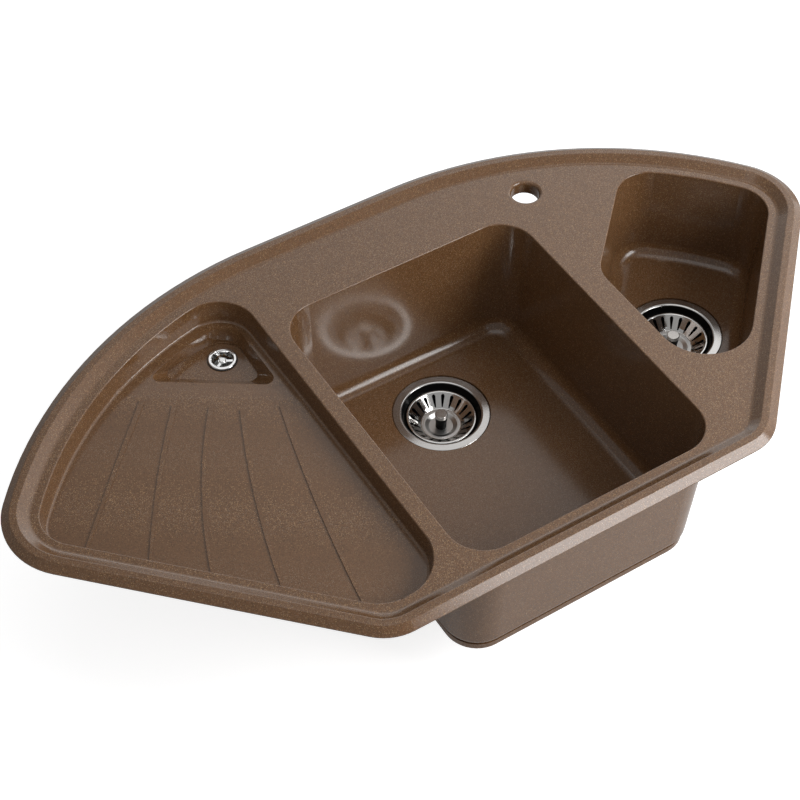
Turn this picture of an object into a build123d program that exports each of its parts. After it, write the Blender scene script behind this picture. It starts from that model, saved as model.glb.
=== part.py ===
"""Corner kitchen sink with one and a half bowls and a sunken drainer.

Millimetres, +Z up. Z = 0 is the worktop that the rim lies on, X = 0 is the middle of the sink's
length, +Y points into the corner of the room. The origin lies on the rim's underside, in the
middle of the front strip.
"""
from build123d import *
from math import cos, radians, sin, sqrt, tan
import os

os.makedirs("parts", exist_ok=True)

# ---------------------------------------------------------------- outline of the rim, seen from above
overall_length = 1040.0
overall_depth = 562.0
origin_from_front = 10.0        # the origin lies this far inside the front edge
side_reach = 277.0              # from the sink's end to where its front and slanted edge would meet
front_corner_radius = 60.0
side_angle = 45.0
tip_radius = 83.0
back_arc_reach = 420.0          # from the sink's end to the straight middle of the back edge

# ---------------------------------------------------------------- section of the rim and deck
rim_height = 8.0
rim_edge = 1.6                  # upright band under the outer slope
rim_outer_slope = 9.5
rim_crest = 8.0
rim_inner_slope = 11.5
rim_crest_fillet = 2.0
rim_foot_fillet = 7.0
seat_width = 16.0               # flat strip under the rim that rests on the worktop
deck_thickness = 10.0
opening_inset = 40.0            # every hollow starts this far inside the rim's edge
opening_fillet = 1.6
wall = 9.0
wall_draft = 3.0
floor_thickness = 12.0

# ---------------------------------------------------------------- main bowl
main_length = 405.0
main_corner_radius = 43.0
main_depth = 170.0
main_floor_fillet = 20.0
foot_ring_height = 8.0
foot_ring_width = 14.0
foot_ring_inset = 2.5
outer_floor_fillet = 10.0

# ---------------------------------------------------------------- small bowl
divider_right = 35.0            # deck between the two bowls
small_past_corner = 6.0         # bowl's left edge, from where front and slanted edge would meet
small_left_side = 272.0         # from the front to where the slanted back edge starts
small_depth = 130.0
small_acute_radius = 57.0
small_obtuse_radius = 38.0
small_back_radius = 45.0
small_floor_fillet = 18.0

# ---------------------------------------------------------------- drainer
drainer_past_corner = 97.0      # right-hand edge, from where front and slanted edge would meet
divider_left = 21.0             # deck between the drainer and the main bowl
drainer_depth = 25.0
drainer_fall = 0.35             # degrees, down towards the pocket
drainer_front_radius = 55.0
drainer_back_radius = 48.0
drainer_draft = 8.0
drainer_foot_fillet = 3.0

# ---------------------------------------------------------------- small drain and pocket of the drainer
drain_from_divider = 45.0       # from the drainer's right-hand edge
drain_from_back = 101.0         # from the sink's back edge
drain_seat_radius = 26.0
drain_seat_depth = 1.5
drain_hole_radius = 13.0
surround_fall = 2.0             # degrees, from the crease down to the pocket
pocket_depth = 46.0
pocket_lip_clear = 4.0          # the pocket's mouth is drawn this far above the drainer's floor
pocket_shell_draft = 14.0
pocket_shell_fillet = 5.0
pocket_radii = (8.0, 26.0, 10.0)
# every pair from here to the ribs is measured from the middle of the small drain
crease_back = (-111.0, -21.0)   # the crease runs between these two points
crease_front = (41.0, -121.0)
pocket_left = (-101.0, -5.0)    # corners of the pocket's mouth, and the middle of its curved back
pocket_arc = (-37.0, 23.0)
pocket_back = (34.0, 36.0)
pocket_front = (31.0, -93.0)
pocket_floor_left = (-77.0, 13.0)
pocket_floor_arc = (-28.0, 24.0)
pocket_floor_back = (26.0, 31.0)
pocket_floor_front = (24.0, -56.0)
rib_height = 1.3
rib_near_width = 6.0
rib_far_width = 3.0
rib_clear = 12.0                # ribs keep this far inside the drainer's mouth
# each rib: end near the pocket, far end, and how far its middle bows out to the left
ribs = (
    ((-115.0, -27.0), (-259.0, -183.0), 1.0),
    ((-87.0, -52.0), (-209.0, -233.0), 4.0),
    ((-53.0, -76.0), (-161.0, -281.0), 9.0),
    ((-25.0, -97.0), (-108.0, -338.0), 6.5),
    ((15.0, -116.0), (-46.0, -393.0), 4.5),
)

# ---------------------------------------------------------------- tap hole
tap_from_small_left = 3.0       # to the right of the small bowl's left edge
tap_from_back = 92.0
tap_hole_radius = 17.5
tap_mouth_fillet = 4.0
tap_boss_radius = 32.0
tap_boss_height = 7.0

# ---------------------------------------------------------------- strainers, main and small alike
main_strainer_off_middle = 2.5      # to the right of the main bowl's middle
main_strainer_from_back = 99.5
small_strainer_from_left = 100.0    # from the small bowl's left and front edges
small_strainer_from_front = 233.5
flange_radius = 60.0
flange_recess_depth = 3.0       # the bowl's floor is sunk this far under the steel ring
flange_recess_gap = 0.8
flange_gasket_thickness = 1.2
flange_gasket_radius = 58.0
flange_gasket_width = 6.5
lip_radius = 49.5               # where the flat ring turns down into the throat
throat_radius = 44.0
throat_cone_depth = 10.0
cup_steel = 1.0
cup_depth = 36.0                # from the bowl's floor down to the cup's floor
cup_corner_radius = 5.0
cup_window_radius = 26.0
cup_hub_radius = 13.0
cup_arms = 4
cup_arm_width = 5.0
bore_radius = 45.6              # hole through the bowl's floor
bore_gap = 1.5
fit_gap = 0.1                   # between pieces that are screwed or pressed together
seat_clearance = 0.3            # between pieces that lift apart
edge_break = 1.0                # small chamfers
cup_bend = 0.6                  # turned-down edge of the pressed ring
cup_lip_bend = 3.0
cup_throat_bend = 3.0

basket_rim_radius = 43.4
basket_rim_drop = 8.0           # from the bowl's floor down to the basket's rim
basket_rim_skirt = 2.6
basket_rim_width = 2.4
basket_steel = 0.8
basket_ring_radius = 25.0       # raised ring between the slots and the dished middle
basket_wall_foot = 4.0          # the slotted wall ends this far outside the raised ring
basket_dish_radius = 20.0
basket_dish_foot = 15.0
basket_dish_depth = 3.2
basket_depth = 18.0             # from the basket's rim down to its dished middle
basket_slots = 20
basket_slot_inner = 26.5
basket_slot_outer = 38.6
basket_slot_head = 4.4          # slots are this wide at their outer end
basket_slot_point = 1.8         # and this wide at their inner end
basket_bend = 1.2
basket_wall_bend = 6.0
basket_skirt_bend = 0.9
knob_radius = 8.0
knob_waist_radius = 6.8
knob_height = 23.0
knob_head_height = 4.6
knob_neck_height = 8.0
knob_fillet = 1.2
knob_bore_depth = 11.0
stem_radius = 3.0
stem_collar_radius = 6.0
stem_collar_height = 2.0
stem_tip_drop = 8.0             # below the collar
stem_ring_radius = 3.8
stem_ring_height = 2.4
stem_ring_rise = 1.5            # above the stem's tip
stem_ring_bevel = 0.4
seal_radius = 31.0
seal_inner_radius = 28.4
seal_thickness = 3.2
seal_edge = 2.2                 # upright band above the sloping top's edge
seal_lip_draft = 1.0

clamp_radius = 6.0
clamp_head_radius = 10.0
clamp_head_height = 2.5
clamp_socket_radius = 4.1
clamp_socket_depth = 9.0
clamp_length = 20.0
insert_radius = 8.5
insert_length = 11.0
body_gasket_thickness = 3.0
body_flange_radius = 57.0
body_flange_height = 4.0
body_wall = 2.6
body_cup_gap = 2.0
body_depth = 34.0               # upright part of the plastic cup
body_cone_height = 12.0
body_hub_radius = 11.5
body_arms = 3
body_arm_width = 4.0
outlet_radius = 23.9            # over the thread of the 1 1/2 inch outlet
outlet_bore = 20.0
outlet_length = 26.0
spigot_radius = 8.5
spigot_bore = 6.0
spigot_length = 26.0
spigot_drop = 16.0              # below the plastic cup's rim
spigot_collar_radius = 9.8      # flat shoulder that the hose is pushed up to
spigot_collar_length = 1.5

# ---------------------------------------------------------------- small drain
grid_radius = 17.0
grid_ring_height = 1.3
grid_ring_width = 3.6
grid_throat_radius = 12.4
grid_throat_depth = 6.0
grid_arm_width = 3.2
grid_arm_height = 1.6
grid_arm_drop = 2.2
grid_arms = 3
grid_hub_radius = 5.0
grid_steel = 0.9
grid_bend = 0.8
drain_gasket_thickness = 1.0
drain_gasket_radius = 17.8
screw_radius = 2.0
screw_head_radius = 4.2
screw_head_height = 1.8
screw_length = 26.0
elbow_flange_radius = 21.0
elbow_flange_height = 3.0
elbow_gasket_thickness = 2.0
elbow_radius = 15.0
elbow_wall = 2.4
elbow_drop = 30.0
elbow_reach = 44.0
elbow_spigot_drop = 20.0
elbow_hub_radius = 6.0
elbow_hub_drop = 5.0
elbow_insert_radius = 3.8
elbow_insert_length = 9.0


# ================================================================= outline geometry
front_y = -origin_from_front
back_y = overall_depth - origin_from_front
half_length = overall_length / 2
tip_x = half_length - tip_radius
side_offset = half_length - side_reach - front_y
back_flat_half = half_length - back_arc_reach
tip_y = tip_x - side_offset + tip_radius * sqrt(2)
tip_to_back = back_y - tip_y
tip_to_flat = tip_x - back_flat_half
back_radius = (tip_to_flat**2 + tip_to_back**2 - tip_radius**2) / (2 * (tip_to_back - tip_radius))
back_centre_y = back_y - back_radius
# direction in which back arc and tip arc share a tangent
join_x = tip_x - back_flat_half
join_y = tip_y - back_centre_y
join_length = sqrt(join_x**2 + join_y**2)


def rim_outline(inset: float, corner_radius: float) -> Face:
    """The rim's outline, moved inwards by inset, as a face on Z = 0."""
    side = side_offset - inset * sqrt(2)
    y_front = front_y + inset
    y_back = back_y - inset
    corner = side + y_front
    corner_cut = corner_radius * tan(radians(side_angle / 2))
    tip = tip_radius - inset
    big = back_radius - inset
    diagonal = 1 / sqrt(2)
    corner_mid = (
        corner - corner_cut + corner_radius * sin(radians(side_angle / 2)),
        y_front + corner_radius * (1 - cos(radians(side_angle / 2))),
    )
    corner_end = (corner + corner_cut * diagonal, y_front + corner_cut * diagonal)
    tip_start = (tip_x + tip * diagonal, tip_y - tip * diagonal)
    tip_end = (tip_x + tip * join_x / join_length, tip_y + tip * join_y / join_length)
    arc_mid_x = join_x / join_length
    arc_mid_y = 1 + join_y / join_length
    arc_mid_length = sqrt(arc_mid_x**2 + arc_mid_y**2)
    arc_mid = (
        back_flat_half + big * arc_mid_x / arc_mid_length,
        back_centre_y + big * arc_mid_y / arc_mid_length,
    )
    tip_mid = (tip_x + tip, tip_y)
    with BuildSketch() as face:
        with BuildLine():
            Line((0, y_front), (corner - corner_cut, y_front))
            ThreePointArc((corner - corner_cut, y_front), corner_mid, corner_end)
            Line(corner_end, tip_start)
            ThreePointArc(tip_start, tip_mid, tip_end)
            ThreePointArc(tip_end, arc_mid, (back_flat_half, y_back))
            Line((back_flat_half, y_back), (0, y_back))
            mirror(about=Plane.YZ)
        make_face()
    return face.sketch.face()


def rim_at(inset: float) -> Face:
    """The rim's outline with its front corners kept concentric."""
    return rim_outline(inset, front_corner_radius - inset)


def section(at: tuple) -> Plane:
    """Upright sketch plane through a point: local x is radius, local y is height."""
    return Plane(origin=at, x_dir=(1, 0, 0), z_dir=(0, -1, 0))


def finish(block: BuildPart, name: str) -> None:
    """Name one finished piece and write it."""
    block.part.label = name
    export_step(block.part, f"parts/{name}.step")


# ================================================================= hollows of the basin
main_front = front_y + opening_inset
main_back = main_front + main_length
drainer_right = drainer_past_corner + side_reach - half_length
main_left = drainer_right + divider_left
small_left = half_length - side_reach - small_past_corner
main_width = small_left - divider_right - main_left
tap_x = small_left + tap_from_small_left
tap_y = back_y - tap_from_back
drain_x = drainer_right - drain_from_divider
drain_y = back_y - drain_from_back
far = overall_length
main_strainer = (
    main_left + main_width / 2 + main_strainer_off_middle,
    main_back - main_strainer_from_back,
    -main_depth,
)
small_strainer = (
    small_left + small_strainer_from_left,
    main_front + small_strainer_from_front,
    -small_depth,
)
drain_point = (drain_x, drain_y, -pocket_depth)

with BuildSketch() as main_opening:
    with Locations((main_left, main_front)):
        Rectangle(main_width, main_length, align=(Align.MIN, Align.MIN))
    fillet(main_opening.vertices(), main_corner_radius)

with BuildSketch() as small_opening:
    add(rim_outline(opening_inset, front_corner_radius - opening_inset))
    with Locations((small_left, front_y)):
        Rectangle(far, far, align=(Align.MIN, Align.MIN), mode=Mode.INTERSECT)
    with Locations(Location((small_left, main_front + small_left_side), side_angle)):
        Rectangle(far, far, align=(Align.CENTER, Align.MIN), mode=Mode.SUBTRACT)
    corners = small_opening.vertices().sort_by(Axis.X)
    fillet(corners[0:2].sort_by(Axis.Y)[0], small_acute_radius)
    fillet(small_opening.vertices().sort_by(Axis.Y)[-1], small_back_radius)
    left_edge = small_opening.vertices().group_by(Axis.X)[0]
    fillet(left_edge.sort_by(Axis.Y)[-1], small_obtuse_radius)

with BuildSketch() as drainer_opening:
    add(rim_outline(opening_inset, drainer_front_radius))
    with Locations((drainer_right, front_y)):
        Rectangle(far, far, align=(Align.MAX, Align.MIN), mode=Mode.INTERSECT)
    right_edge = drainer_opening.vertices().group_by(Axis.X)[-1]
    fillet(right_edge.sort_by(Axis.Y)[-1], drainer_back_radius)
    right_edge = drainer_opening.vertices().group_by(Axis.X)[-1]
    fillet(right_edge.sort_by(Axis.Y)[0], drainer_front_radius)


# ================================================================= hollow of the main bowl
with BuildPart() as main_hollow:
    extrude(main_opening.sketch, amount=-main_depth, taper=wall_draft)
    fillet(main_hollow.faces().sort_by(Axis.Z)[0].edges(), main_floor_fillet)
    extrude(main_opening.sketch, amount=rim_height)

# ================================================================= hollow of the small bowl
with BuildPart() as small_hollow:
    extrude(small_opening.sketch, amount=-small_depth, taper=wall_draft)
    fillet(small_hollow.faces().sort_by(Axis.Z)[0].edges(), small_floor_fillet)
    extrude(small_opening.sketch, amount=rim_height)

# ================================================================= hollow of the drainer
def by_drain(offset_xy: tuple) -> Vector:
    """A point given from the middle of the small drain, as a point of the sink."""
    return Vector(drain_x + offset_xy[0], drain_y + offset_xy[1], 0)


fall_limit = radians(surround_fall + 1)
fall = tan(radians(drainer_fall))
towards_pocket = Vector(drain_x + half_length, drain_y - front_y, 0).normalized()
floor_plane = Plane(
    origin=(drain_x, drain_y, -drainer_depth),
    x_dir=(1, 0, -fall * towards_pocket.X),
    z_dir=(fall * towards_pocket.X, fall * towards_pocket.Y, 1),
)
crease = (Vector(*crease_front) - Vector(*crease_back)).normalized()
crease_fall = tan(radians(surround_fall))
crease_z = -drainer_depth - fall * towards_pocket.dot(Vector(*crease_front))
surround_plane = Plane(
    origin=by_drain(crease_front) + Vector(0, 0, crease_z),
    x_dir=(crease.X, crease.Y, 0),
    z_dir=(-crease.Y * crease_fall, crease.X * crease_fall, 1),
)


def drainer_room(floor: Plane) -> Part:
    """The drainer's hollow down to a sloping floor."""
    with BuildPart() as room:
        extrude(drainer_opening.sketch, amount=-pocket_depth)
        draft(room.faces().filter_by(Axis.Z, reverse=True), Plane.XY, -drainer_draft)
        split(bisect_by=floor)
        level = room.faces().filter_by(lambda face: abs(face.normal_at().Z) > cos(fall_limit))
        fillet(level.sort_by(Axis.Z)[0].edges(), drainer_foot_fillet)
    return room.part


drainer_hollow = drainer_room(floor_plane)
surround_hollow = drainer_room(surround_plane)


def pocket_face(height: float, corners: tuple, arc: tuple) -> Face:
    """Three-cornered outline of the pocket at one height: left, back and front corner."""
    left, back, front = (by_drain(corner) for corner in corners)
    with BuildSketch() as face:
        with BuildLine():
            ThreePointArc(left, by_drain(arc), back)
            Line(back, front)
            Line(front, left)
        make_face()
        for corner, radius in zip((left, back, front), pocket_radii):
            near = face.vertices().sort_by_distance(corner)[0]
            fillet(near, radius)
    return Plane.XY.offset(height) * face.sketch.face()


pocket_mouth = pocket_face(
    -drainer_depth + pocket_lip_clear, (pocket_left, pocket_back, pocket_front), pocket_arc
)
pocket_floor = pocket_face(
    -pocket_depth, (pocket_floor_left, pocket_floor_back, pocket_floor_front), pocket_floor_arc
)
with BuildPart() as pocket_hollow:
    loft([pocket_mouth, pocket_floor], ruled=True)


rib_field = offset(drainer_opening.sketch, -rib_clear)


def rib_band(start: tuple, end: tuple, bulge: float) -> Face:
    """A thin curved band on the drainer's floor, wider at its start than at its end."""
    along = Vector(*end) - Vector(*start)
    across = Vector(-along.Y, along.X).normalized()
    middle = (Vector(*start) + Vector(*end)) / 2 - across * bulge
    near = across * (rib_near_width / 2)
    far_end = across * (rib_far_width / 2)
    centre = (near + far_end) / 2
    with BuildSketch(floor_plane) as band:
        with BuildLine():
            upper = ThreePointArc(Vector(*start) + near, middle + centre, Vector(*end) + far_end)
            lower = ThreePointArc(Vector(*start) - near, middle - centre, Vector(*end) - far_end)
            Line(upper @ 0, lower @ 0)
            Line(upper @ 1, lower @ 1)
        make_face()
        with Locations((-drain_x, -drain_y)):
            add(rib_field, mode=Mode.INTERSECT)
    return band.sketch.face()


# ================================================================= basin
crest_inset = rim_outer_slope + rim_crest
deck_inset = crest_inset + rim_inner_slope
main_outer = offset(main_opening.sketch, wall, mode=Mode.PRIVATE)
small_outer = offset(small_opening.sketch, wall, mode=Mode.PRIVATE)
drainer_outer = offset(drainer_opening.sketch, wall, mode=Mode.PRIVATE)

pocket_shell_depth = pocket_depth + floor_thickness

with BuildPart() as pocket_shell:
    with BuildSketch(Plane.XY.offset(-drainer_depth)) as pocket_top:
        add(Plane.XY.offset(drainer_depth - pocket_lip_clear) * pocket_mouth)
        offset(amount=wall)
    extrude(amount=-(pocket_shell_depth - drainer_depth), taper=pocket_shell_draft)
    fillet(pocket_shell.faces().sort_by(Axis.Z)[0].edges(), pocket_shell_fillet)

with BuildPart() as drainer_shell:
    extrude(drainer_outer, amount=-(drainer_depth + deck_thickness), taper=drainer_draft)
    fillet(drainer_shell.faces().sort_by(Axis.Z)[0].edges(), outer_floor_fillet)

with BuildPart() as main_shell:
    extrude(main_outer, amount=-(main_depth + floor_thickness), taper=wall_draft)
    fillet(main_shell.faces().sort_by(Axis.Z)[0].edges(), outer_floor_fillet)
    shell_foot = main_shell.faces().sort_by(Axis.Z)[0]
    foot_face = offset(shell_foot, -foot_ring_inset + outer_floor_fillet, mode=Mode.PRIVATE)
    foot_core = offset(foot_face, -foot_ring_width, mode=Mode.PRIVATE)
    extrude(foot_face, amount=foot_ring_height)
    extrude(foot_core, amount=foot_ring_height, mode=Mode.SUBTRACT)

with BuildPart() as small_shell:
    extrude(small_outer, amount=-(small_depth + floor_thickness), taper=wall_draft)
    fillet(small_shell.faces().sort_by(Axis.Z)[0].edges(), outer_floor_fillet)

with BuildPart() as sink_basin:
    # rim: upright edge, outer slope, crest and inner slope
    extrude(rim_at(0), amount=rim_edge)
    with BuildSketch(Plane.XY.offset(rim_edge)):
        add(rim_at(0))
    with BuildSketch(Plane.XY.offset(rim_height)):
        add(rim_at(rim_outer_slope))
    loft(ruled=True)
    with BuildSketch(Plane.XY):
        add(rim_at(deck_inset))
    with BuildSketch(Plane.XY.offset(rim_height)):
        add(rim_at(crest_inset))
    loft(ruled=True, mode=Mode.SUBTRACT)
    fillet(sink_basin.faces().sort_by(Axis.Z)[-1].edges(), rim_crest_fillet)
    # deck, with its foot blended into the rim
    extrude(rim_at(seat_width), amount=-deck_thickness)
    deck_top = sink_basin.faces().filter_by(
        lambda face: abs(face.center().Z) < 0.01 and face.normal_at().Z > 0.5
    )
    fillet(deck_top[0].edges(), rim_foot_fillet)
    # outer walls of the bowls and of the drainer, and the raised ring round the tap hole
    add(main_shell.part)
    add(small_shell.part)
    add(drainer_shell.part)
    add(pocket_shell.part)
    with Locations((tap_x, tap_y, -deck_thickness)):
        Cylinder(tap_boss_radius, tap_boss_height, align=(Align.CENTER, Align.CENTER, Align.MAX))
    # hollows
    add(main_hollow.part, mode=Mode.SUBTRACT)
    add(small_hollow.part, mode=Mode.SUBTRACT)
    add(drainer_hollow, mode=Mode.SUBTRACT)
    add(surround_hollow, mode=Mode.SUBTRACT)
    add(pocket_hollow.part, mode=Mode.SUBTRACT)

    # softened edges of every hollow where it meets the deck
    mouths = sink_basin.faces().filter_by(
        lambda face: abs(face.center().Z) < 0.01 and face.normal_at().Z > 0.9
    ).sort_by(SortBy.AREA)[-1].inner_wires()
    fillet([edge for wire in mouths for edge in wire.edges()], opening_fillet)
    # the drainer's ribs
    for rib in ribs:
        band = rib_band(*rib)
        extrude(band, amount=rib_height)
        extrude(band, amount=-rib_height)
    # waste bores with a sunk seat for the steel ring
    for at in (main_strainer, small_strainer):
        with BuildSketch(section(at)):
            with BuildLine():
                Polyline(
                    (0, floor_thickness),
                    (flange_radius + flange_recess_gap, floor_thickness),
                    (flange_radius + flange_recess_gap, -flange_recess_depth),
                    (lip_radius + bore_gap, -flange_recess_depth),
                    (bore_radius, -throat_cone_depth),
                    (bore_radius, -floor_thickness - foot_ring_height),
                    (0, -floor_thickness - foot_ring_height),
                    close=True,
                )
            make_face()
        revolve(axis=Axis(at, (0, 0, 1)), mode=Mode.SUBTRACT)
    # seat and hole of the small drain
    with Locations((drain_x, drain_y, -pocket_depth)):
        CounterBoreHole(
            drain_hole_radius, drain_seat_radius, drain_seat_depth, floor_thickness + wall
        )
    # tap hole
    with Locations((tap_x, tap_y, 0)):
        Hole(tap_hole_radius, depth=deck_thickness + tap_boss_height)
    tap_mouth = sink_basin.edges().filter_by(GeomType.CIRCLE).filter_by(
        lambda edge: abs(edge.radius - tap_hole_radius) < 0.01 and abs(edge.center().Z) < 0.01
    )
    fillet(tap_mouth, tap_mouth_fillet)

finish(sink_basin, "sink_basin")


# ================================================================= strainer pieces
def strainer_flange(name: str, at: tuple) -> None:
    """Pressed steel cup: wide flat ring, conical throat and a floor with four windows."""
    ring_z = -flange_recess_depth + flange_gasket_thickness + cup_steel / 2
    wall_r = throat_radius + cup_steel / 2
    floor_z = -cup_depth - cup_steel / 2
    edge_r = flange_radius - cup_steel / 2
    with BuildPart() as flange:
        with BuildSketch(section(at)):
            with BuildLine():
                FilletPolyline(
                    (edge_r, -flange_recess_depth + seat_clearance),
                    (edge_r, ring_z),
                    (lip_radius, ring_z),
                    (wall_r, -throat_cone_depth),
                    (wall_r, floor_z),
                    (cup_window_radius, floor_z),
                    radius=(cup_bend, cup_lip_bend, cup_throat_bend, cup_corner_radius),
                )
            trace(line_width=cup_steel)
        revolve(axis=Axis(at, (0, 0, 1)))
        with BuildSketch(Plane(origin=(at[0], at[1], at[2] - cup_depth))):
            Circle(cup_hub_radius)
            with PolarLocations(0, cup_arms):
                Rectangle(
                    cup_window_radius + cup_arm_width / 2,
                    cup_arm_width,
                    align=(Align.MIN, Align.CENTER),
                )
            Circle(clamp_radius + fit_gap, mode=Mode.SUBTRACT)
        extrude(amount=-cup_steel)
    finish(flange, name)


def turned(name: str, at: tuple, outline: list) -> None:
    """A piece turned about the strainer's axis from a closed outline of radius and height."""
    with BuildPart() as piece:
        with BuildSketch(section(at)):
            with BuildLine():
                Polyline(*outline, close=True)
            make_face()
        revolve(axis=Axis(at, (0, 0, 1)))
    finish(piece, name)


with BuildSketch() as basket_slot:
    with Locations((basket_slot_inner + basket_slot_point / 2, 0)):
        Circle(basket_slot_point / 2)
    with Locations((basket_slot_outer - basket_slot_head / 2, 0)):
        Circle(basket_slot_head / 2)
    make_hull()


def strainer_basket(name: str, at: tuple) -> None:
    """Lift-out basket: turned-down rim, slotted bowl, raised ring and a dished middle."""
    rim_z = -basket_rim_drop - basket_steel / 2
    dish_z = -basket_rim_drop - basket_depth
    ring_z = dish_z + basket_dish_depth
    rim_r = basket_rim_radius - basket_steel / 2
    with BuildPart() as basket:
        with BuildSketch(section(at)):
            with BuildLine():
                FilletPolyline(
                    (rim_r, rim_z - basket_rim_skirt),
                    (rim_r, rim_z),
                    (rim_r - basket_rim_width, rim_z),
                    (basket_ring_radius + basket_wall_foot, ring_z + basket_dish_depth),
                    (basket_ring_radius, ring_z),
                    (basket_dish_radius, ring_z),
                    (basket_dish_foot, dish_z),
                    (stem_radius + fit_gap, dish_z),
                    radius=(basket_skirt_bend, basket_bend, basket_wall_bend) + (basket_bend,) * 3,
                )
            trace(line_width=basket_steel)
        revolve(axis=Axis(at, (0, 0, 1)))
        with BuildSketch(Plane(origin=(at[0], at[1], at[2] + rim_z - basket_steel))):
            with PolarLocations(0, basket_slots):
                add(basket_slot.sketch)
        extrude(amount=-basket_depth, mode=Mode.SUBTRACT)
    finish(basket, name)


def strainer_body(name: str, at: tuple, with_spigot: bool) -> None:
    """Plastic cup under the bowl, with a threaded outlet and a spider that holds the brass nut."""
    top = -floor_thickness - body_gasket_thickness
    inner = throat_radius + cup_steel + body_cup_gap
    outer = inner + body_wall
    cup_foot = top - body_depth
    cone_foot = cup_foot - body_cone_height
    hub_top = -cup_depth - cup_steel
    with BuildPart() as body:
        with BuildSketch(section(at)):
            with BuildLine():
                Polyline(
                    (inner, top),
                    (body_flange_radius, top),
                    (body_flange_radius, top - body_flange_height),
                    (outer, top - body_flange_height),
                    (outer, cup_foot),
                    (outlet_radius, cone_foot),
                    (outlet_radius, cone_foot - outlet_length),
                    (outlet_bore, cone_foot - outlet_length),
                    (outlet_bore, cone_foot + body_wall),
                    (inner, cup_foot + body_wall),
                    close=True,
                )
            make_face()
        revolve(axis=Axis(at, (0, 0, 1)))
        with BuildSketch(Plane(origin=(at[0], at[1], at[2] + hub_top))):
            Circle(body_hub_radius)
            with PolarLocations(0, body_arms):
                Rectangle(inner + body_wall / 2, body_arm_width, align=(Align.MIN, Align.CENTER))
        extrude(amount=-insert_length)
        with Locations((at[0], at[1], at[2] + hub_top)):
            Hole(insert_radius, depth=insert_length)
        if with_spigot:
            pipe_z = at[2] + top - spigot_drop
            pipe_plane = Plane(origin=(at[0], at[1], pipe_z), z_dir=(-1, 0, 0))
            with BuildSketch(pipe_plane.offset(inner + body_wall / 2)):
                Circle(spigot_radius)
            extrude(amount=spigot_length)
            with BuildSketch(pipe_plane.offset(inner + body_wall / 2)):
                Circle(spigot_collar_radius)
            extrude(amount=body_wall / 2 + spigot_collar_length)
            with BuildSketch(pipe_plane.offset(throat_radius + cup_steel)):
                Circle(spigot_bore)
            extrude(amount=spigot_length * 2, mode=Mode.SUBTRACT)
    finish(body, name)


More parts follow.
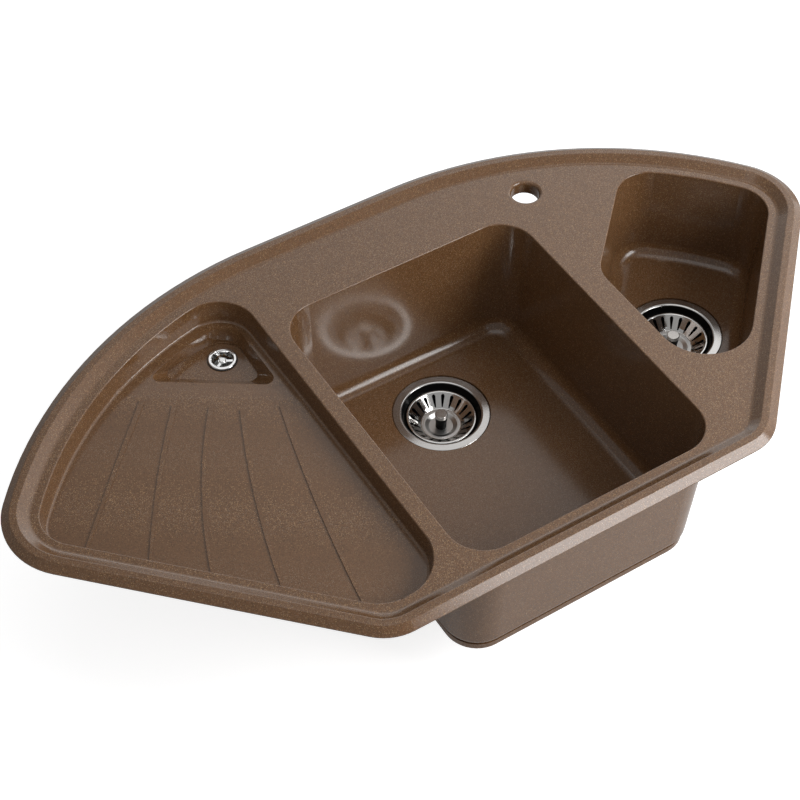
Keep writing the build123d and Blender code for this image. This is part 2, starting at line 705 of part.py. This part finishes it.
def strainer(prefix: str, at: tuple, with_spigot: bool) -> None:
    """All pieces of one strainer, at the level of its bowl's floor."""
    recess = -flange_recess_depth
    underside = -floor_thickness
    gasket_inner = flange_gasket_radius - flange_gasket_width
    body_inner = throat_radius + cup_steel + body_cup_gap
    cup_floor = -cup_depth
    dish = -basket_rim_drop - basket_depth
    seal_top = dish - basket_steel / 2
    seal_foot = seal_top - seal_thickness
    collar_foot = seal_foot - stem_collar_height
    tip = collar_foot - stem_tip_drop
    ring_foot = tip + stem_ring_rise
    knob_foot = dish + basket_steel / 2
    clamp_top = cup_floor + clamp_head_height
    insert_top = cup_floor - cup_steel

    strainer_flange(f"{prefix}_flange", at)
    turned(f"{prefix}_flange_gasket", at, [
        (gasket_inner, recess),
        (flange_gasket_radius, recess),
        (flange_gasket_radius, recess + flange_gasket_thickness),
        (gasket_inner, recess + flange_gasket_thickness),
    ])
    turned(f"{prefix}_body_gasket", at, [
        (body_inner, underside),
        (body_flange_radius - edge_break, underside),
        (body_flange_radius - edge_break, underside - body_gasket_thickness),
        (body_inner, underside - body_gasket_thickness),
    ])
    strainer_body(f"{prefix}_waste_body", at, with_spigot)
    turned(f"{prefix}_insert", at, [
        (clamp_radius + fit_gap, insert_top),
        (insert_radius - fit_gap, insert_top),
        (insert_radius - fit_gap, insert_top - insert_length),
        (clamp_radius + fit_gap, insert_top - insert_length),
    ])
    turned(f"{prefix}_clamp_screw", at, [
        (0, clamp_top - clamp_socket_depth),
        (clamp_socket_radius, clamp_top - clamp_socket_depth),
        (clamp_socket_radius, clamp_top),
        (clamp_head_radius - edge_break, clamp_top),
        (clamp_head_radius, clamp_top - edge_break),
        (clamp_head_radius, cup_floor),
        (clamp_radius, cup_floor),
        (clamp_radius, cup_floor - clamp_length + edge_break),
        (clamp_radius - edge_break, cup_floor - clamp_length),
        (0, cup_floor - clamp_length),
    ])
    strainer_basket(f"{prefix}_basket", at)
    turned(f"{prefix}_basket_seal", at, [
        (stem_radius + fit_gap, seal_top),
        (basket_dish_foot, seal_top),
        (seal_radius, seal_top - seal_edge),
        (seal_radius, cup_floor + seat_clearance),
        (seal_inner_radius, cup_floor + seat_clearance),
        (seal_inner_radius - seal_lip_draft, seal_foot),
        (stem_radius + fit_gap, seal_foot),
    ])
    turned(f"{prefix}_stem", at, [
        (0, knob_foot + knob_bore_depth),
        (stem_radius, knob_foot + knob_bore_depth),
        (stem_radius, seal_foot),
        (stem_collar_radius, seal_foot),
        (stem_collar_radius, collar_foot),
        (stem_radius, collar_foot),
        (stem_radius, tip + edge_break),
        (stem_radius - edge_break, tip),
        (0, tip),
    ])
    turned(f"{prefix}_stem_ring", at, [
        (stem_radius + fit_gap / 2, ring_foot),
        (stem_ring_radius - stem_ring_bevel, ring_foot),
        (stem_ring_radius, ring_foot + stem_ring_height / 2),
        (stem_ring_radius - stem_ring_bevel, ring_foot + stem_ring_height),
        (stem_radius + fit_gap / 2, ring_foot + stem_ring_height),
    ])
    with BuildPart() as knob:
        with BuildSketch(section(at)):
            with BuildLine():
                Polyline(
                    (0, knob_foot + knob_height),
                    (knob_radius, knob_foot + knob_height),
                    (knob_radius, knob_foot + knob_height - knob_head_height),
                    (knob_waist_radius, knob_foot + knob_neck_height),
                    (knob_waist_radius, knob_foot),
                    (stem_radius + fit_gap, knob_foot),
                    (stem_radius + fit_gap, knob_foot + knob_bore_depth + fit_gap),
                    (0, knob_foot + knob_bore_depth + fit_gap),
                    close=True,
                )
            make_face()
        revolve(axis=Axis(at, (0, 0, 1)))
        fillet(knob.faces().sort_by(Axis.Z)[-1].edges(), knob_fillet)
    finish(knob, f"{prefix}_knob")


strainer("main", main_strainer, with_spigot=True)
strainer("small", small_strainer, with_spigot=False)


# ================================================================= small drain of the drainer
seat_z = -drain_seat_depth
ring_z = seat_z + drain_gasket_thickness
drain_axis = Axis(drain_point, (0, 0, 1))
arm_top = ring_z - grid_arm_drop

with BuildPart() as drainer_grid:
    with BuildSketch(section(drain_point)):
        with BuildLine():
            FilletPolyline(
                (grid_radius - grid_steel / 2, ring_z),
                (grid_radius - grid_steel / 2, ring_z + grid_ring_height),
                (grid_radius - grid_ring_width, ring_z + grid_ring_height),
                (grid_throat_radius, ring_z - grid_steel),
                (grid_throat_radius, ring_z - grid_throat_depth),
                radius=grid_bend,
            )
        trace(line_width=grid_steel)
    revolve(axis=drain_axis)
    with BuildSketch(Plane(origin=(drain_x, drain_y, -pocket_depth + arm_top))):
        Circle(grid_hub_radius)
        with PolarLocations(0, grid_arms, start_angle=90):
            Rectangle(grid_throat_radius, grid_arm_width, align=(Align.MIN, Align.CENTER))
        Circle(screw_radius + fit_gap, mode=Mode.SUBTRACT)
    extrude(amount=-grid_arm_height)
finish(drainer_grid, "drainer_grid")

turned("drainer_gasket", drain_point, [
    (grid_throat_radius + grid_ring_width, seat_z),
    (drain_gasket_radius, seat_z),
    (drain_gasket_radius, ring_z),
    (grid_throat_radius + grid_ring_width, ring_z),
])

with BuildPart() as drainer_screw:
    with BuildSketch(section(drain_point)):
        with BuildLine():
            Polyline(
                (0, arm_top + screw_head_height),
                (screw_head_radius - edge_break, arm_top + screw_head_height),
                (screw_head_radius, arm_top + screw_head_height / 2),
                (screw_head_radius, arm_top),
                (screw_radius, arm_top),
                (screw_radius, arm_top - screw_length),
                (0, arm_top - screw_length),
                close=True,
            )
        make_face()
    revolve(axis=drain_axis)
finish(drainer_screw, "drainer_screw")

elbow_top = -floor_thickness - elbow_gasket_thickness
turned("drainer_elbow_gasket", drain_point, [
    (drain_hole_radius, -floor_thickness),
    (elbow_flange_radius - edge_break, -floor_thickness),
    (elbow_flange_radius - edge_break, elbow_top),
    (drain_hole_radius, elbow_top),
])

hub_top = elbow_top - elbow_hub_drop
with BuildPart() as drainer_elbow:
    with BuildSketch(section(drain_point)):
        with BuildLine():
            Polyline(
                (elbow_radius - elbow_wall, elbow_top),
                (elbow_flange_radius, elbow_top),
                (elbow_flange_radius, elbow_top - elbow_flange_height),
                (elbow_radius, elbow_top - elbow_flange_height),
                (elbow_radius, elbow_top - elbow_drop),
                (0, elbow_top - elbow_drop),
                (0, elbow_top - elbow_drop + elbow_wall),
                (elbow_radius - elbow_wall, elbow_top - elbow_drop + elbow_wall),
                close=True,
            )
        make_face()
    revolve(axis=drain_axis)
    with BuildSketch(Plane(origin=(drain_x, drain_y, -pocket_depth + hub_top))):
        Circle(elbow_hub_radius)
        with PolarLocations(0, grid_arms, start_angle=90):
            Rectangle(
                elbow_radius - elbow_wall / 2, elbow_wall, align=(Align.MIN, Align.CENTER)
            )
    extrude(amount=-elbow_insert_length)
    with Locations((drain_x, drain_y, -pocket_depth + hub_top)):
        Hole(elbow_insert_radius, depth=elbow_insert_length)
    spigot_z = -pocket_depth + elbow_top - elbow_spigot_drop
    spigot_plane = Plane(origin=(drain_x, drain_y, spigot_z), z_dir=(0, -1, 0))
    with BuildSketch(spigot_plane.offset(elbow_radius - elbow_wall / 2)):
        Circle(spigot_radius)
    extrude(amount=elbow_reach - elbow_radius + elbow_wall / 2)
    with BuildSketch(spigot_plane.offset(elbow_radius - elbow_wall / 2)):
        Circle(spigot_collar_radius)
    extrude(amount=elbow_wall / 2 + spigot_collar_length)
    with BuildSketch(spigot_plane.offset(elbow_radius - elbow_wall * 2)):
        Circle(spigot_bore)
    extrude(amount=elbow_reach, mode=Mode.SUBTRACT)
finish(drainer_elbow, "drainer_elbow")

turned("drainer_insert", drain_point, [
    (screw_radius + fit_gap, hub_top),
    (elbow_insert_radius - fit_gap, hub_top),
    (elbow_insert_radius - fit_gap, hub_top - elbow_insert_length),
    (screw_radius + fit_gap, hub_top - elbow_insert_length),
])
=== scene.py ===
"""Looks of the corner kitchen sink: camera, materials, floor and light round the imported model."""
import bpy
from math import cos, radians, sin
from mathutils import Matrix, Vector


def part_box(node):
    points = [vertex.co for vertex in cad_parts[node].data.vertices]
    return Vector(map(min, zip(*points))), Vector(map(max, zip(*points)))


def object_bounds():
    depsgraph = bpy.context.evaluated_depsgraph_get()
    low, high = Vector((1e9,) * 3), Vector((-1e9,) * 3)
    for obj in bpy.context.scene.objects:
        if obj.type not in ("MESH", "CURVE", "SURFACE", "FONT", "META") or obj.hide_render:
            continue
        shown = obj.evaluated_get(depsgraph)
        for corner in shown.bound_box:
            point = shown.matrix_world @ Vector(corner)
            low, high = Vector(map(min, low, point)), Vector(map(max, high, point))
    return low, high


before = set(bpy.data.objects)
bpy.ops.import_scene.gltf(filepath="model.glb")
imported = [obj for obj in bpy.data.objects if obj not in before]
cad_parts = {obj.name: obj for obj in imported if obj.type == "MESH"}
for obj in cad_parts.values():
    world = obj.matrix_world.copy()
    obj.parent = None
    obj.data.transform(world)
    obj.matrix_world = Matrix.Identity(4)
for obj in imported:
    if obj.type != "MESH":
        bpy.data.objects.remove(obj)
cad_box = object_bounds()

# ------------------------------------------------------------------ places on the part, in metres
STRAINERS = {"main": (0.041, 0.3355), "small": (0.337, 0.2635)}     # upright axes of the two wastes
KNOB_HEAD = 0.0046              # height of a knob's steel head
HEAD_EDGE = 0.0001              # half the height over which the shaft's painted shade turns to steel
THROAT_EDGE = 0.0492            # radius at which a ring's rounded lip turns down
THROAT_FADE = 0.0004            # width over which the polish gives way to the throat's painted shade
DISH_EDGE = 0.0245              # radius of a basket's dished middle
DISH_FADE = 0.001               # width over which its satin ends

# ------------------------------------------------------------------ camera
CAMERA_PLACE = (-0.761796, -0.837828, 1.500747)
CAMERA_AZIMUTH = -31.84
CAMERA_ELEVATION = 49.24
CAMERA_LENS = 80.55
CAMERA_SENSOR = 36.0
CAMERA_SHIFT = 0.0125
CAMERA_REACH = 50.0             # farthest point that it sees, in metres

azimuth, elevation = radians(CAMERA_AZIMUTH), radians(CAMERA_ELEVATION)
towards_camera = Vector(
    (sin(azimuth) * cos(elevation), -cos(azimuth) * cos(elevation), sin(elevation))
)
camera_data = bpy.data.cameras.new("camera")
camera_data.lens = CAMERA_LENS
camera_data.sensor_width = CAMERA_SENSOR
camera_data.shift_x = CAMERA_SHIFT
camera_data.clip_end = CAMERA_REACH
camera = bpy.data.objects.new("camera", camera_data)
camera.location = CAMERA_PLACE
camera.rotation_mode = "QUATERNION"
camera.rotation_quaternion = (-towards_camera).to_track_quat("-Z", "Y")
bpy.context.scene.collection.objects.link(camera)
bpy.context.scene.camera = camera
bpy.context.scene.view_settings.view_transform = "Standard"


# ------------------------------------------------------------------ node helpers
def is_output(value):
    return isinstance(value, bpy.types.NodeSocket)


class Graph:
    """A node tree, with short calls for the nodes that the materials and the studio use."""

    def __init__(self, tree):
        self.tree = tree

    def put(self, socket, value):
        """Link an input to another node's output, or give it a value of its own."""
        if is_output(value):
            self.tree.links.new(value, socket)
        else:
            socket.default_value = value

    def node(self, kind, inputs=None, **settings):
        """Add a node with its settings, and fill the inputs that are named or numbered."""
        made = self.tree.nodes.new(kind)
        for key, value in settings.items():
            setattr(made, key, value)
        for key, value in (inputs or {}).items():
            self.put(made.inputs[key], value)
        return made

    def math(self, operation, *values):
        return self.node("ShaderNodeMath", dict(enumerate(values)), operation=operation).outputs[0]

    def vector_math(self, operation, *values):
        made = self.node("ShaderNodeVectorMath", dict(enumerate(values)), operation=operation)
        return made.outputs

    def spread(self, value, low, high, to_low=0.0, to_high=1.0):
        """Carry the stretch from low to high over to another stretch, and hold it at the ends."""
        inputs = {
            "Value": value, "From Min": low, "From Max": high, "To Min": to_low, "To Max": to_high
        }
        return self.node("ShaderNodeMapRange", inputs).outputs["Result"]

    def blend_values(self, factor, a, b):
        return self.node("ShaderNodeMix", {0: factor, 2: a, 3: b}, data_type="FLOAT").outputs[0]

    def ray_kinds(self):
        """1 for rays straight from the camera, and 1 for rays that a surface mirrors or lets by."""
        path = self.node("ShaderNodeLightPath").outputs
        passed_on = self.math("MAXIMUM", path["Is Glossy Ray"], path["Is Transmission Ray"])
        return path["Is Camera Ray"], passed_on


class Surface(Graph):
    """A material of one shader, with its patterns laid out in the part's own frame."""

    def __init__(self, name):
        self.material = bpy.data.materials.new(name)
        self.material.use_nodes = True
        super().__init__(self.material.node_tree)
        self.tree.nodes.clear()
        out = self.node("ShaderNodeOutputMaterial")
        self.shader = self.node("ShaderNodeBsdfPrincipled")
        self.put(out.inputs["Surface"], self.shader.outputs["BSDF"])
        self.place = self.node("ShaderNodeTexCoord").outputs["Object"]

    def set(self, **values):
        """Fill the shader's inputs, named with _ for a space."""
        for key, value in values.items():
            self.put(self.shader.inputs[key.replace("_", " ")], value)

    def noise(self, scale, detail=2.0, roughness=0.5):
        inputs = {"Vector": self.place, "Scale": scale, "Detail": detail, "Roughness": roughness}
        return self.node("ShaderNodeTexNoise", inputs).outputs["Fac"]

    def cells(self, scale):
        """Random cells: three numbers from 0 to 1 for each cell, and the distance to its middle."""
        made = self.node("ShaderNodeTexVoronoi", {"Vector": self.place, "Scale": scale})
        numbers = self.node("ShaderNodeSeparateColor", {"Color": made.outputs["Color"]})
        return numbers.outputs, made.outputs["Distance"]

    def blend(self, factor, a, b):
        """Mix two colours, each from a node or given as red, green and blue."""
        a, b = (colour if is_output(colour) else (*colour, 1.0) for colour in (a, b))
        return self.node("ShaderNodeMix", {0: factor, 6: a, 7: b}, data_type="RGBA").outputs[2]

    def bump(self, relief, distance, strength):
        inputs = {"Height": relief, "Distance": distance, "Strength": strength}
        self.set(Normal=self.node("ShaderNodeBump", inputs).outputs["Normal"])

    def height(self):
        """Height of a point, in metres."""
        return self.node("ShaderNodeSeparateXYZ", {0: self.place}).outputs["Z"]

    def ring_distance(self, centre):
        """Distance of a point from an upright axis, in metres."""
        shifted = self.vector_math("SUBTRACT", self.place, (*centre, 0.0))[0]
        flat = self.vector_math("MULTIPLY", shifted, (1.0, 1.0, 0.0))[0]
        return self.vector_math("LENGTH", flat)["Value"]

    def lathe_marks(self, radius):
        """Fine rings left by a lathe or a spinning brush, from 0 to 1."""
        inputs = {"W": self.math("MULTIPLY", radius, LATHE_RINGS), "Scale": 1.0, "Detail": 3.0}
        return self.node("ShaderNodeTexNoise", inputs, noise_dimensions="1D").outputs["Fac"]

    def turned_roughness(self, rings, roughness):
        """Roughness of turned steel: it goes with the rings, and wiping adds a little more."""
        smudge = self.noise(SMUDGES, detail=3.0)
        wiped = self.spread(smudge, *UPPER, 0.0, SMUDGE_ROUGH)
        return self.math("ADD", self.spread(rings, *MIDDLE, *roughness), wiped)

    def marked(self, marks, colour, tone, most):
        """A colour that takes its darker tone where the marks are strong, up to the share most."""
        return self.blend(self.spread(marks, *MIDDLE, 0.0, most), colour, darker(colour, tone))


def darker(colour, tone):
    """A colour with each channel brought down to the same share of itself."""
    return tuple(channel * tone for channel in colour)


# ------------------------------------------------------------------ colours
STONE_LOW = (0.082, 0.0405, 0.0165)
STONE_HIGH = (0.162, 0.0805, 0.0345)
STONE_RED = (0.150, 0.066, 0.0300)
FLECK_GOLD = (0.440, 0.270, 0.130)
FLECK_PALE = (0.440, 0.340, 0.250)
FLECK_DARK = (0.030, 0.0145, 0.0070)
RING_STEEL = (0.50, 0.485, 0.47)
BASKET_STEEL = (0.62, 0.61, 0.595)
KNOB_STEEL = (0.42, 0.40, 0.38)
BRIGHT_STEEL = (0.80, 0.80, 0.79)
CHROME = (0.86, 0.86, 0.86)
BRASS = (0.72, 0.50, 0.22)
# painted shade: the near-black that stands for the shadow in each flange's throat
THROAT_PAINTED_SHADE = (0.004, 0.004, 0.004)
# painted shade: near-black for the shadowed shaft of each knob
SHAFT_SHADE_LOW = (0.002, 0.002, 0.002)
SHAFT_SHADE_HIGH = (0.004, 0.004, 0.004)
RUBBER_BLACK = (0.012, 0.012, 0.012)
RUBBER_GREY = (0.05, 0.05, 0.05)
PLASTIC_WHITE = (0.78, 0.78, 0.76)
WHITE = (1.0, 1.0, 1.0, 1.0)

# ------------------------------------------------------------------ patterns, by marks to a metre
GRAIN = 1020.0                  # coarse quartz grains
FINE_GRAIN = 2000.0             # fine quartz grains
CLOUDS = 22.0                   # soft patches in stone and plastic
PEEL = 240.0                    # ripples in the moulded stone
LATHE_RINGS = 5200.0            # rings on turned steel
SMUDGES = 60.0                  # wipe marks on turned steel
SHAFT_GRAIN = 1500.0
WIPE_MARKS = 90.0               # on pressed metal
RIPPLES = 320.0                 # in pressed metal
DUST = 140.0                    # on rubber
RUBBER_GRAIN = 1800.0
PLASTIC_GRAIN = 2400.0
FLOOR_PATCHES = 3.0

# stretches of a noise, which goes from 0 to 1 and is mostly near its middle
MIDDLE = (0.3, 0.7)
UPPER_MIDDLE = (0.35, 0.7)
UPPER = (0.4, 0.7)

# ------------------------------------------------------------------ grains of the stone
COARSE_TONE, FINE_TONE = 0.62, 0.38     # how much of the stone's tone each kind of grain gives
CLOUD_TONE = 0.06               # what the clouds add to it or take off
# A grain takes a tint by its random number: from the first number here on, wholly so at the
# second, and the third is the share of the tint that it then takes.
RED_GRAINS = (0.70, 0.95, 0.55)
GOLD_FLECKS = (0.88, 0.91, 0.68)
DARK_FLECKS = (0.13, 0.10, 0.70)
PALE_FLECKS = (0.92, 0.945, 0.75)
# A fleck fades between these two distances from the middle of its cell.
FLECK_FADE = (0.30, 0.52)
SMALL_FLECK_FADE = (0.30, 0.50)
PEEL_RELIEF, GRAIN_RELIEF = 0.6, 0.12   # how much of the stone's relief each gives

# ------------------------------------------------------------------ shine and relief
# roughness where a finish is smoothest and where it is dullest
STONE_ROUGH = (0.13, 0.20)
BASKET_ROUGH = (0.07, 0.14)
RING_ROUGH = (0.10, 0.15)
KNOB_ROUGH = (0.16, 0.24)
STEEL_ROUGH = (0.06, 0.14)
CHROME_ROUGH = (0.04, 0.09)
BRASS_ROUGH = (0.18, 0.30)
RUBBER_ROUGH = (0.55, 0.80)
PLASTIC_ROUGH = (0.36, 0.50)
SHAFT_ROUGH = 0.35
SMUDGE_ROUGH = 0.03             # added where turned steel was wiped
DISH_SATIN = 0.20               # added inside a basket's dish
FLOOR_ROUGH = 0.9

STONE_IOR = 1.52
RUBBER_IOR = 1.5
PLASTIC_IOR = 1.49
USUAL_LEVEL = 0.5               # the shader's usual specular level
# low specular level that keeps the throat's painted shade dark
THROAT_SHADE_LEVEL = 0.08
# low specular level that keeps the knob shaft's painted shade dark
SHAFT_SHADE_LEVEL = 0.03

# depth of a relief in metres, and how strongly it shows
STONE_BUMP = (0.00004, 0.35)
BASKET_BUMP = (0.00002, 0.12)
RING_BUMP = (0.00002, 0.2)
PRESSED_BUMP = (0.00003, 0.15)
RUBBER_BUMP = (0.00005, 0.3)
PLASTIC_BUMP = (0.00003, 0.3)

# the darker tone of a finish as a share of its colour, and the most of that tone in its marks
BASKET_MARKS = (0.8, 0.3)
RING_MARKS = (0.85, 0.4)
PRESSED_MARKS = (0.85, 0.25)
PLASTIC_TONE = 0.93
FLOOR_TONE = 0.97
DUSTY_SHARE, DUSTY_ADDED = 1.8, 0.01    # dusty rubber is its colour times one, plus the other


# ------------------------------------------------------------------ materials
def stone_composite():
    """Brown resin packed with quartz grains of many tones, some of them gold, pale or dark."""
    g = Surface("stone_composite_speckled")
    tones, distance = g.cells(GRAIN)
    fine_tones, fine_distance = g.cells(FINE_GRAIN)
    clouds = g.noise(CLOUDS, detail=3.0, roughness=0.6)

    def tinted(number, start, full, share):
        return g.spread(number, start, full, 0.0, share)

    coarse = g.math("MULTIPLY", tones["Red"], COARSE_TONE)
    fine = g.math("MULTIPLY", fine_tones["Red"], FINE_TONE)
    tone = g.math("ADD", coarse, fine)
    tone = g.math("ADD", tone, g.spread(clouds, *MIDDLE, -CLOUD_TONE, CLOUD_TONE))
    colour = g.blend(g.spread(tone, 0.0, 1.0), STONE_LOW, STONE_HIGH)
    colour = g.blend(tinted(tones["Green"], *RED_GRAINS), colour, STONE_RED)

    speck = g.spread(distance, *FLECK_FADE, 1.0, 0.0)
    small_speck = g.spread(fine_distance, *SMALL_FLECK_FADE, 1.0, 0.0)
    for spot, number, flecks, tint in (
        (speck, tones["Blue"], GOLD_FLECKS, FLECK_GOLD),
        (speck, tones["Blue"], DARK_FLECKS, FLECK_DARK),
        (small_speck, fine_tones["Blue"], PALE_FLECKS, FLECK_PALE),
    ):
        colour = g.blend(g.math("MULTIPLY", spot, tinted(number, *flecks)), colour, tint)

    g.set(
        Base_Color=colour,
        Roughness=g.spread(fine_tones["Green"], 0.0, 1.0, *STONE_ROUGH),
        IOR=STONE_IOR,
    )
    peel = g.math("MULTIPLY", g.noise(PEEL), PEEL_RELIEF)
    grain = g.math("MULTIPLY", fine_tones["Green"], GRAIN_RELIEF)
    g.bump(g.math("ADD", peel, grain), *STONE_BUMP)
    return g.material


def basket_finish(name, centre):
    """Steel turned on a lathe: fine rings round an upright axis, wipe marks and a satin dish."""
    g = Surface(name)
    radius = g.ring_distance(centre)
    rings = g.lathe_marks(radius)
    satin = g.spread(radius, DISH_EDGE - DISH_FADE, DISH_EDGE, DISH_SATIN, 0.0)
    g.set(
        Base_Color=g.marked(rings, BASKET_STEEL, *BASKET_MARKS),
        Metallic=1.0,
        Roughness=g.math("ADD", g.turned_roughness(rings, BASKET_ROUGH), satin),
    )
    g.bump(rings, *BASKET_BUMP)
    return g.material


def ring_finish(name, centre):
    """Polished flat ring; inside its rounded lip the throat is painted near-black and dull, as
    painted shade for its shadow.
    """
    g = Surface(name)
    radius = g.ring_distance(centre)
    rings = g.lathe_marks(radius)
    outside = g.spread(radius, THROAT_EDGE - THROAT_FADE, THROAT_EDGE)
    g.set(
        # inside the lip the flange is painted near-black: painted shade for its shadowed throat
        Base_Color=g.blend(outside, THROAT_PAINTED_SHADE, g.marked(rings, RING_STEEL, *RING_MARKS)),
        Metallic=outside,
        Roughness=g.turned_roughness(rings, RING_ROUGH),
        Specular_IOR_Level=g.spread(outside, 0.0, 1.0, THROAT_SHADE_LEVEL, USUAL_LEVEL),
    )
    g.bump(rings, *RING_BUMP)
    return g.material


def knob_finish(name, centre, head_foot):
    """Turned steel head; below it the shaft is painted near-black, as painted shade for its dark,
    shadowed side.
    """
    g = Surface(name)
    rings = g.lathe_marks(g.ring_distance(centre))
    head = g.spread(g.height(), head_foot - HEAD_EDGE, head_foot + HEAD_EDGE)
    # below its head the knob is painted near-black: painted shade for its shadowed side
    shaft = g.blend(g.spread(g.noise(SHAFT_GRAIN), *MIDDLE), SHAFT_SHADE_LOW, SHAFT_SHADE_HIGH)
    g.set(
        Base_Color=g.blend(head, shaft, KNOB_STEEL),
        Metallic=head,
        Roughness=g.blend_values(head, SHAFT_ROUGH, g.spread(rings, *MIDDLE, *KNOB_ROUGH)),
        Specular_IOR_Level=g.spread(head, 0.0, 1.0, SHAFT_SHADE_LEVEL, USUAL_LEVEL),
    )
    g.bump(rings, *RING_BUMP)
    return g.material


def polished(name, colour, roughness):
    """Bright metal with faint wipe marks and ripples."""
    g = Surface(name)
    marks = g.noise(WIPE_MARKS, detail=4.0, roughness=0.6)
    g.set(
        Base_Color=g.marked(marks, colour, *PRESSED_MARKS),
        Metallic=1.0,
        Roughness=g.spread(marks, *MIDDLE, *roughness),
    )
    g.bump(g.noise(RIPPLES, detail=1.0), *PRESSED_BUMP)
    return g.material


def rubber(name, colour):
    """Moulded rubber with a dull, dusty surface."""
    g = Surface(name)
    dust = g.noise(DUST, detail=4.0, roughness=0.65)
    dusty = tuple(channel * DUSTY_SHARE + DUSTY_ADDED for channel in colour)
    g.set(
        Base_Color=g.blend(g.spread(dust, *UPPER_MIDDLE), colour, dusty),
        Roughness=g.spread(dust, *MIDDLE, *RUBBER_ROUGH),
        IOR=RUBBER_IOR,
    )
    g.bump(g.noise(RUBBER_GRAIN), *RUBBER_BUMP)
    return g.material


def moulded_plastic(name, colour):
    """Injection-moulded plastic with a fine grain and slightly uneven colour."""
    g = Surface(name)
    tone = g.noise(CLOUDS, detail=3.0)
    grain = g.noise(PLASTIC_GRAIN, detail=1.0)
    g.set(
        Base_Color=g.blend(g.spread(tone, *UPPER_MIDDLE), colour, darker(colour, PLASTIC_TONE)),
        Roughness=g.spread(grain, *MIDDLE, *PLASTIC_ROUGH),
        IOR=PLASTIC_IOR,
    )
    g.bump(grain, *PLASTIC_BUMP)
    return g.material


def dress(node, material):
    """Give a CAD node one material."""
    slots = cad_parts[node].data.materials
    slots.clear()
    slots.append(material)


black_rubber = rubber("rubber_black", RUBBER_BLACK)
grey_rubber = rubber("rubber_grey", RUBBER_GREY)
white_plastic = moulded_plastic("plastic_white", PLASTIC_WHITE)
brass = polished("brass_turned", BRASS, BRASS_ROUGH)
bright = polished("steel_bright", BRIGHT_STEEL, STEEL_ROUGH)

dress("sink_basin", stone_composite())
for prefix, centre in STRAINERS.items():
    head_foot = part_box(f"{prefix}_knob")[1].z - KNOB_HEAD
    dress(f"{prefix}_flange", ring_finish(f"{prefix}_steel_ring", centre))
    dress(f"{prefix}_basket", basket_finish(f"{prefix}_steel_basket", centre))
    dress(f"{prefix}_knob", knob_finish(f"{prefix}_knob_finish", centre, head_foot))
    dress(f"{prefix}_flange_gasket", grey_rubber)
    dress(f"{prefix}_body_gasket", grey_rubber)
    dress(f"{prefix}_waste_body", white_plastic)
    dress(f"{prefix}_insert", brass)
    dress(f"{prefix}_clamp_screw", bright)
    dress(f"{prefix}_stem", bright)
    dress(f"{prefix}_stem_ring", black_rubber)
    dress(f"{prefix}_basket_seal", black_rubber)
dress("drainer_grid", polished("chrome_grid", CHROME, CHROME_ROUGH))
dress("drainer_screw", bright)
dress("drainer_gasket", black_rubber)
dress("drainer_elbow", white_plastic)
dress("drainer_elbow_gasket", grey_rubber)
dress("drainer_insert", brass)

# ------------------------------------------------------------------ floor
FLOOR_GAP = 0.001
FLOOR_REACH = 12.0
FLOOR_PALE = (0.62, 0.62, 0.62)
FLOOR_SEEN = 0.76               # added where the camera looks straight at the floor
FLOOR_MIRRORED = 0.12           # added where metal or stone mirrors it

floor_z = cad_box[0].z - FLOOR_GAP
corners = [(-FLOOR_REACH, -FLOOR_REACH), (FLOOR_REACH, -FLOOR_REACH)]
corners += [(FLOOR_REACH, FLOOR_REACH), (-FLOOR_REACH, FLOOR_REACH)]
floor_mesh = bpy.data.meshes.new("floor")
floor_mesh.from_pydata([(x, y, floor_z) for x, y in corners], [], [(0, 1, 2, 3)])
floor = bpy.data.objects.new("floor", floor_mesh)
bpy.context.scene.collection.objects.link(floor)

pale = Surface("floor_pale")
seen, mirrored = pale.ray_kinds()
glow_seen = pale.math("MULTIPLY", seen, FLOOR_SEEN)
glow_mirrored = pale.math("MULTIPLY", mirrored, FLOOR_MIRRORED)
pale.set(
    Base_Color=pale.blend(pale.noise(FLOOR_PATCHES), FLOOR_PALE, darker(FLOOR_PALE, FLOOR_TONE)),
    Roughness=FLOOR_ROUGH,
    Specular_IOR_Level=0.0,
    Emission_Color=WHITE,
    Emission_Strength=pale.math("ADD", glow_seen, glow_mirrored),
)
floor.data.materials.append(pale.material)

# ------------------------------------------------------------------ light
LAMP_TARGET = Vector((0.0, 0.25, 0.0))

world = bpy.data.worlds.new("studio")
world.use_nodes = True
bpy.context.scene.world = world
studio = Graph(world.node_tree)


def world_ramp(towards, low, high, start=-1.0, stop=1.0):
    """Strength of the surroundings: low on the side away from a direction, and high towards it."""
    direction = studio.node("ShaderNodeTexCoord").outputs["Generated"]
    along = studio.vector_math("DOT_PRODUCT", direction, Vector(towards).normalized())["Value"]
    return studio.spread(along, start, stop, low, high)


seen, mirrored = studio.ray_kinds()
lit = world_ramp(towards=(0.45, -0.90, 0.10), low=0.12, high=0.65)
reflected = world_ramp(towards=(0.90, 0.43, 0.0), low=0.42, high=1.85, start=0.36, stop=0.76)
unseen = studio.blend_values(mirrored, lit, reflected)
background = studio.tree.nodes["Background"].inputs
studio.put(background["Color"], WHITE)
studio.put(background["Strength"], studio.blend_values(seen, unseen, 1.0))


def lamp(name, towards, distance, size, watts):
    """A square soft box that faces the sink from one direction."""
    towards = Vector(towards).normalized()
    data = bpy.data.lights.new(name, "AREA")
    data.shape = "SQUARE"
    data.size = size
    data.energy = watts
    light = bpy.data.objects.new(name, data)
    light.location = LAMP_TARGET + distance * towards
    light.rotation_mode = "QUATERNION"
    light.rotation_quaternion = towards.to_track_quat("Z", "Y")
    bpy.context.scene.collection.objects.link(light)


lamp("key", towards=(0.60, -0.64, 0.57), distance=2.1, size=1.3, watts=43.5)
lamp("overhead", towards=(0.05, 0.10, 1.0), distance=3.0, size=2.0, watts=11.0)
